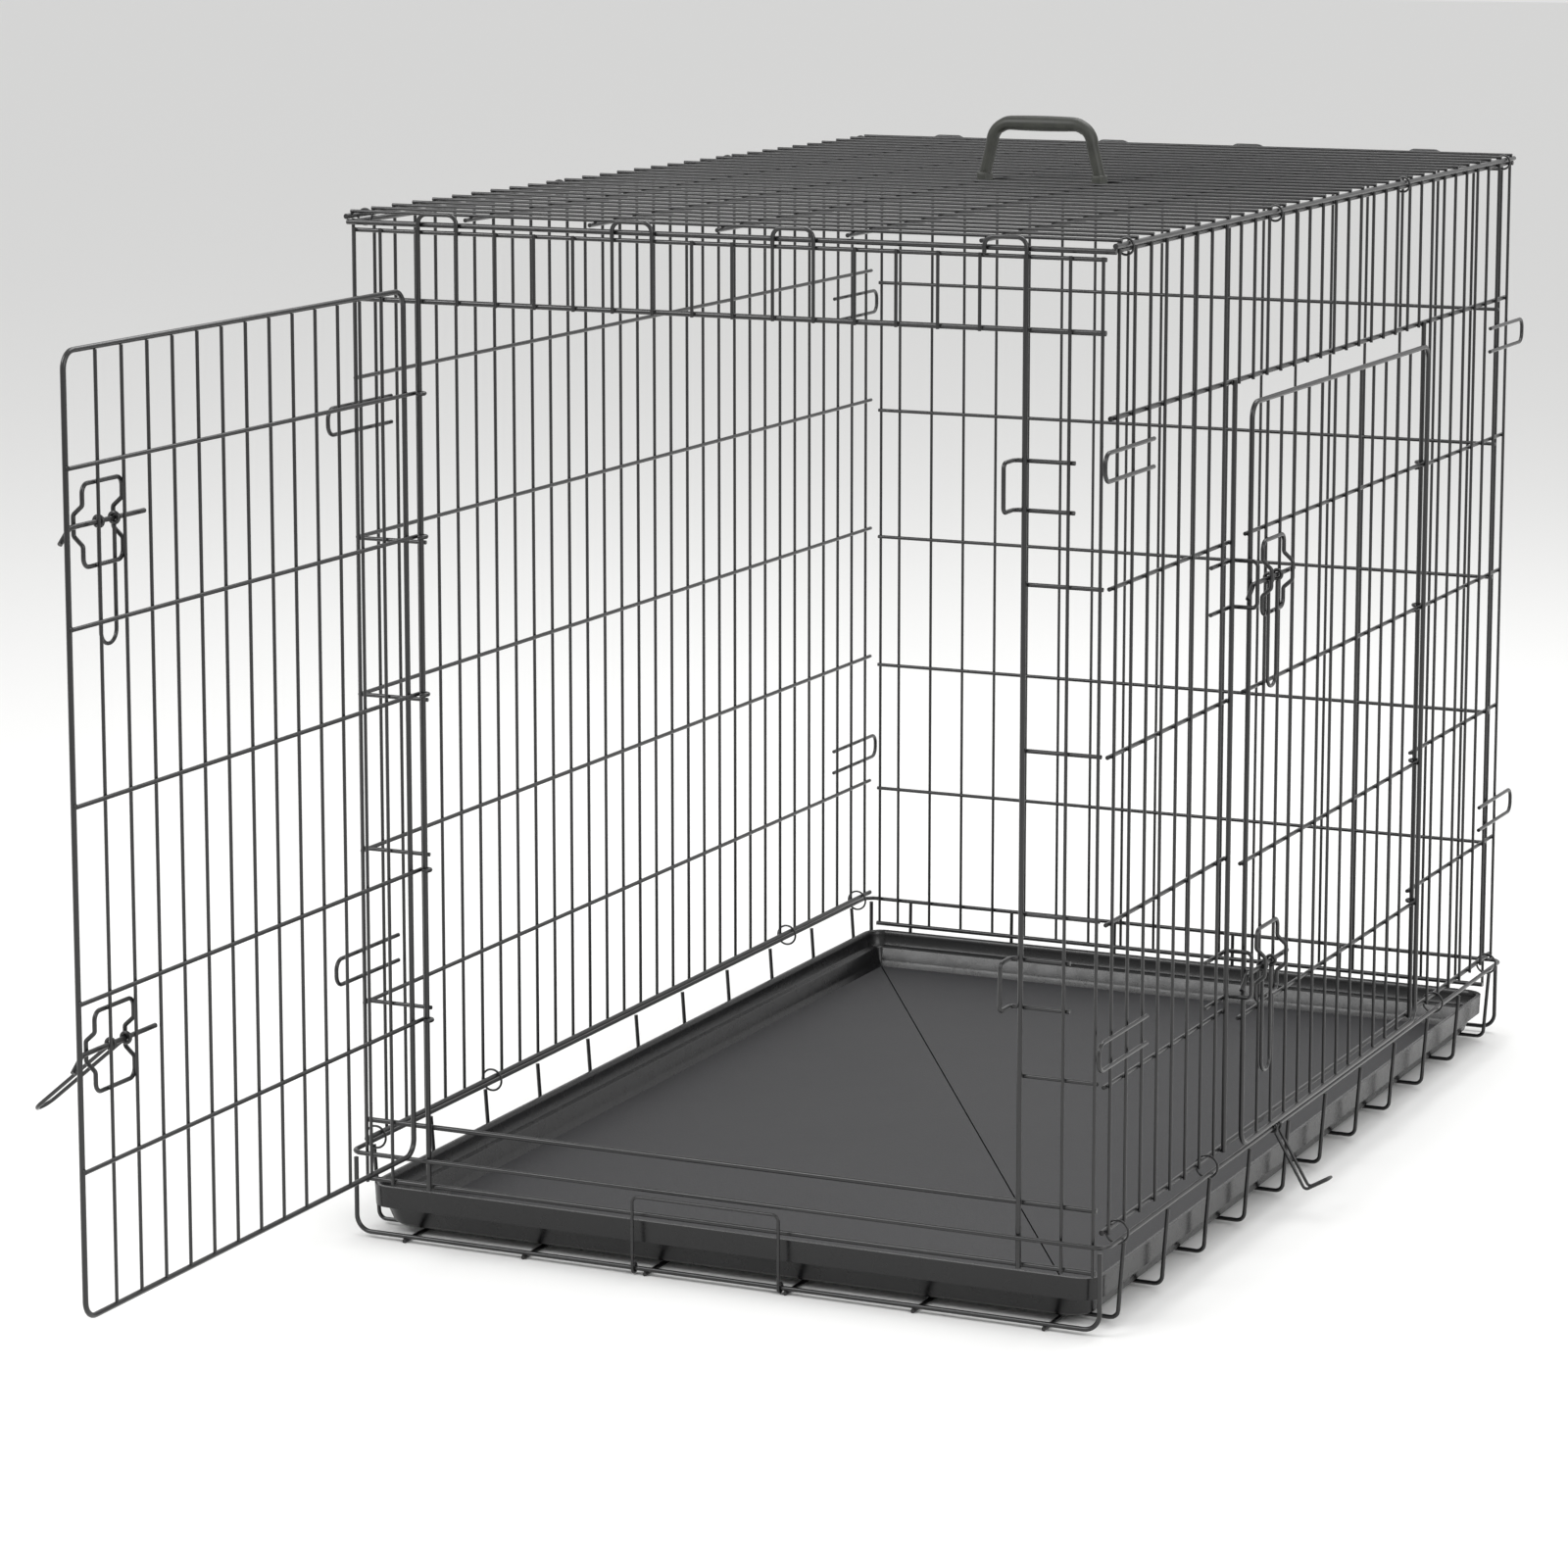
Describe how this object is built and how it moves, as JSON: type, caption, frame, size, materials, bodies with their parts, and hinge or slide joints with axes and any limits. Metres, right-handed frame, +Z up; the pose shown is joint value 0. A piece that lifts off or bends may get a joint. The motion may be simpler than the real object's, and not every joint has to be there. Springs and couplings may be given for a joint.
{
  "type": "wire dog crate",
  "caption": "Folding wire dog crate with hinged front and side doors, slide-bolt latches, a slide-out tray on a wire basket base and a carrying handle on the roof.",
  "frame": {"origin": "on the floor under the middle of the crate's footprint, doors not counted", "axes": "+X to the right seen from the front, +Y from the front panel to the rear panel, +Z up"},
  "size_m": [0.8479, 1.8275, 1.047],
  "materials": {
    "coated_steel": "satin black electrocoat",
    "tray_plastic": "moulded, fine grained floor and glossy rim",
    "handle_plastic": "moulded, slightly mottled"
  },
  "bodies": {
    "crate": {"base_rail": "coated_steel", "base_end_loops": "coated_steel", "base_cross_wires": "coated_steel", "base_runners": "coated_steel", "left_panel_uprights": "coated_steel", "left_panel_rails": "coated_steel", "right_panel_uprights": "coated_steel", "right_panel_rails": "coated_steel", "right_panel_jambs": "coated_steel", "front_panel_uprights": "coated_steel", "front_panel_rails": "coated_steel", "front_panel_jambs": "coated_steel", "front_top_loops": "coated_steel", "roof_runners": "coated_steel", "roof_slats": "coated_steel", "corner_hooks": "coated_steel", "roof_clips": "coated_steel", "base_clips": "coated_steel", "front_door_strikes": "coated_steel", "side_door_strikes": "coated_steel", "carry_handle": "handle_plastic"},
    "rear_panel": {"rear_panel_uprights": "coated_steel", "rear_panel_rails": "coated_steel", "rear_top_loops": "coated_steel"},
    "front_door": {"front_door_frame": "coated_steel", "front_door_uprights": "coated_steel", "front_door_rails": "coated_steel", "front_upper_guide": "coated_steel", "front_lower_guide": "coated_steel"},
    "side_door": {"side_door_frame": "coated_steel", "side_door_uprights": "coated_steel", "side_door_rails": "coated_steel", "side_upper_guide": "coated_steel", "side_lower_guide": "coated_steel"},
    "front_upper_bolt": {"front_upper_bolt": "coated_steel"},
    "front_upper_bolt_handle": {"front_upper_bolt_handle": "coated_steel"},
    "front_lower_bolt": {"front_lower_bolt": "coated_steel"},
    "front_lower_bolt_handle": {"front_lower_bolt_handle": "coated_steel"},
    "side_upper_bolt": {"side_upper_bolt": "coated_steel"},
    "side_upper_bolt_handle": {"side_upper_bolt_handle": "coated_steel"},
    "side_lower_bolt": {"side_lower_bolt": "coated_steel"},
    "side_lower_bolt_handle": {"side_lower_bolt_handle": "coated_steel"},
    "tray": {"tray": "tray_plastic"},
    "tray_stop": {"tray_stop": "coated_steel"},
    "fold_latch": {"fold_latch": "coated_steel"}
  },
  "joints": [
    {"name": "front_door_hinge", "type": "hinge", "parent": "crate", "child": "front_door", "pos_m": [-0.304, -0.60701, 0.5], "axis": [0, 0, 1], "range_deg": [-45, 90]},
    {"name": "side_door_hinge", "type": "hinge", "parent": "crate", "child": "side_door", "pos_m": [0.38151, 0.2905, 0.45], "axis": [0, 0, 1], "range_deg": [0, 135]},
    {"name": "front_upper_bolt_slide", "type": "slide", "parent": "front_door", "child": "front_upper_bolt", "axis": [0, -1, 0], "range_m": [0, 0.025]},
    {"name": "front_upper_handle_swing", "type": "hinge", "parent": "front_upper_bolt", "child": "front_upper_bolt_handle", "pos_m": [-0.32052, -1.11751, 0.764], "axis": [0, 1, 0], "range_deg": [0, 110]},
    {"name": "front_lower_bolt_slide", "type": "slide", "parent": "front_door", "child": "front_lower_bolt", "axis": [0, -1, 0], "range_m": [0, 0.025]},
    {"name": "front_lower_handle_swing", "type": "hinge", "parent": "front_lower_bolt", "child": "front_lower_bolt_handle", "pos_m": [-0.32052, -1.11751, 0.316], "axis": [0, 1, 0], "range_deg": [-50, 60]},
    {"name": "side_upper_bolt_slide", "type": "slide", "parent": "side_door", "child": "side_upper_bolt", "axis": [0, 1, 0], "range_m": [0, 0.025]},
    {"name": "side_upper_handle_swing", "type": "hinge", "parent": "side_upper_bolt", "child": "side_upper_bolt_handle", "pos_m": [0.39803, -0.221, 0.636], "axis": [0, -1, 0], "range_deg": [0, 110]},
    {"name": "side_lower_bolt_slide", "type": "slide", "parent": "side_door", "child": "side_lower_bolt", "axis": [0, 1, 0], "range_m": [0, 0.025]},
    {"name": "side_lower_handle_swing", "type": "hinge", "parent": "side_lower_bolt", "child": "side_lower_bolt_handle", "pos_m": [0.39803, -0.221, 0.262], "axis": [0, -1, 0], "range_deg": [0, 110]},
    {"name": "tray_slide", "type": "slide", "parent": "crate", "child": "tray", "axis": [0, -1, 0], "range_m": [0, 1.2]},
    {"name": "tray_stop_hinge", "type": "hinge", "parent": "crate", "child": "tray_stop", "pos_m": [0, -0.6118, 0.00627], "axis": [1, 0, 0], "range_deg": [0, 90], "deforming": ["tray_stop"]},
    {"name": "rear_panel_fold", "type": "hinge", "parent": "crate", "child": "rear_panel", "pos_m": [0, 0.60199, 0.056], "axis": [1, 0, 0], "range_deg": [0, 90]},
    {"name": "fold_latch_hinge", "type": "hinge", "parent": "crate", "child": "fold_latch", "pos_m": [0.3863, -0.1545, 0.083], "axis": [0, -1, 0], "range_deg": [-25, 60]}
  ]
}
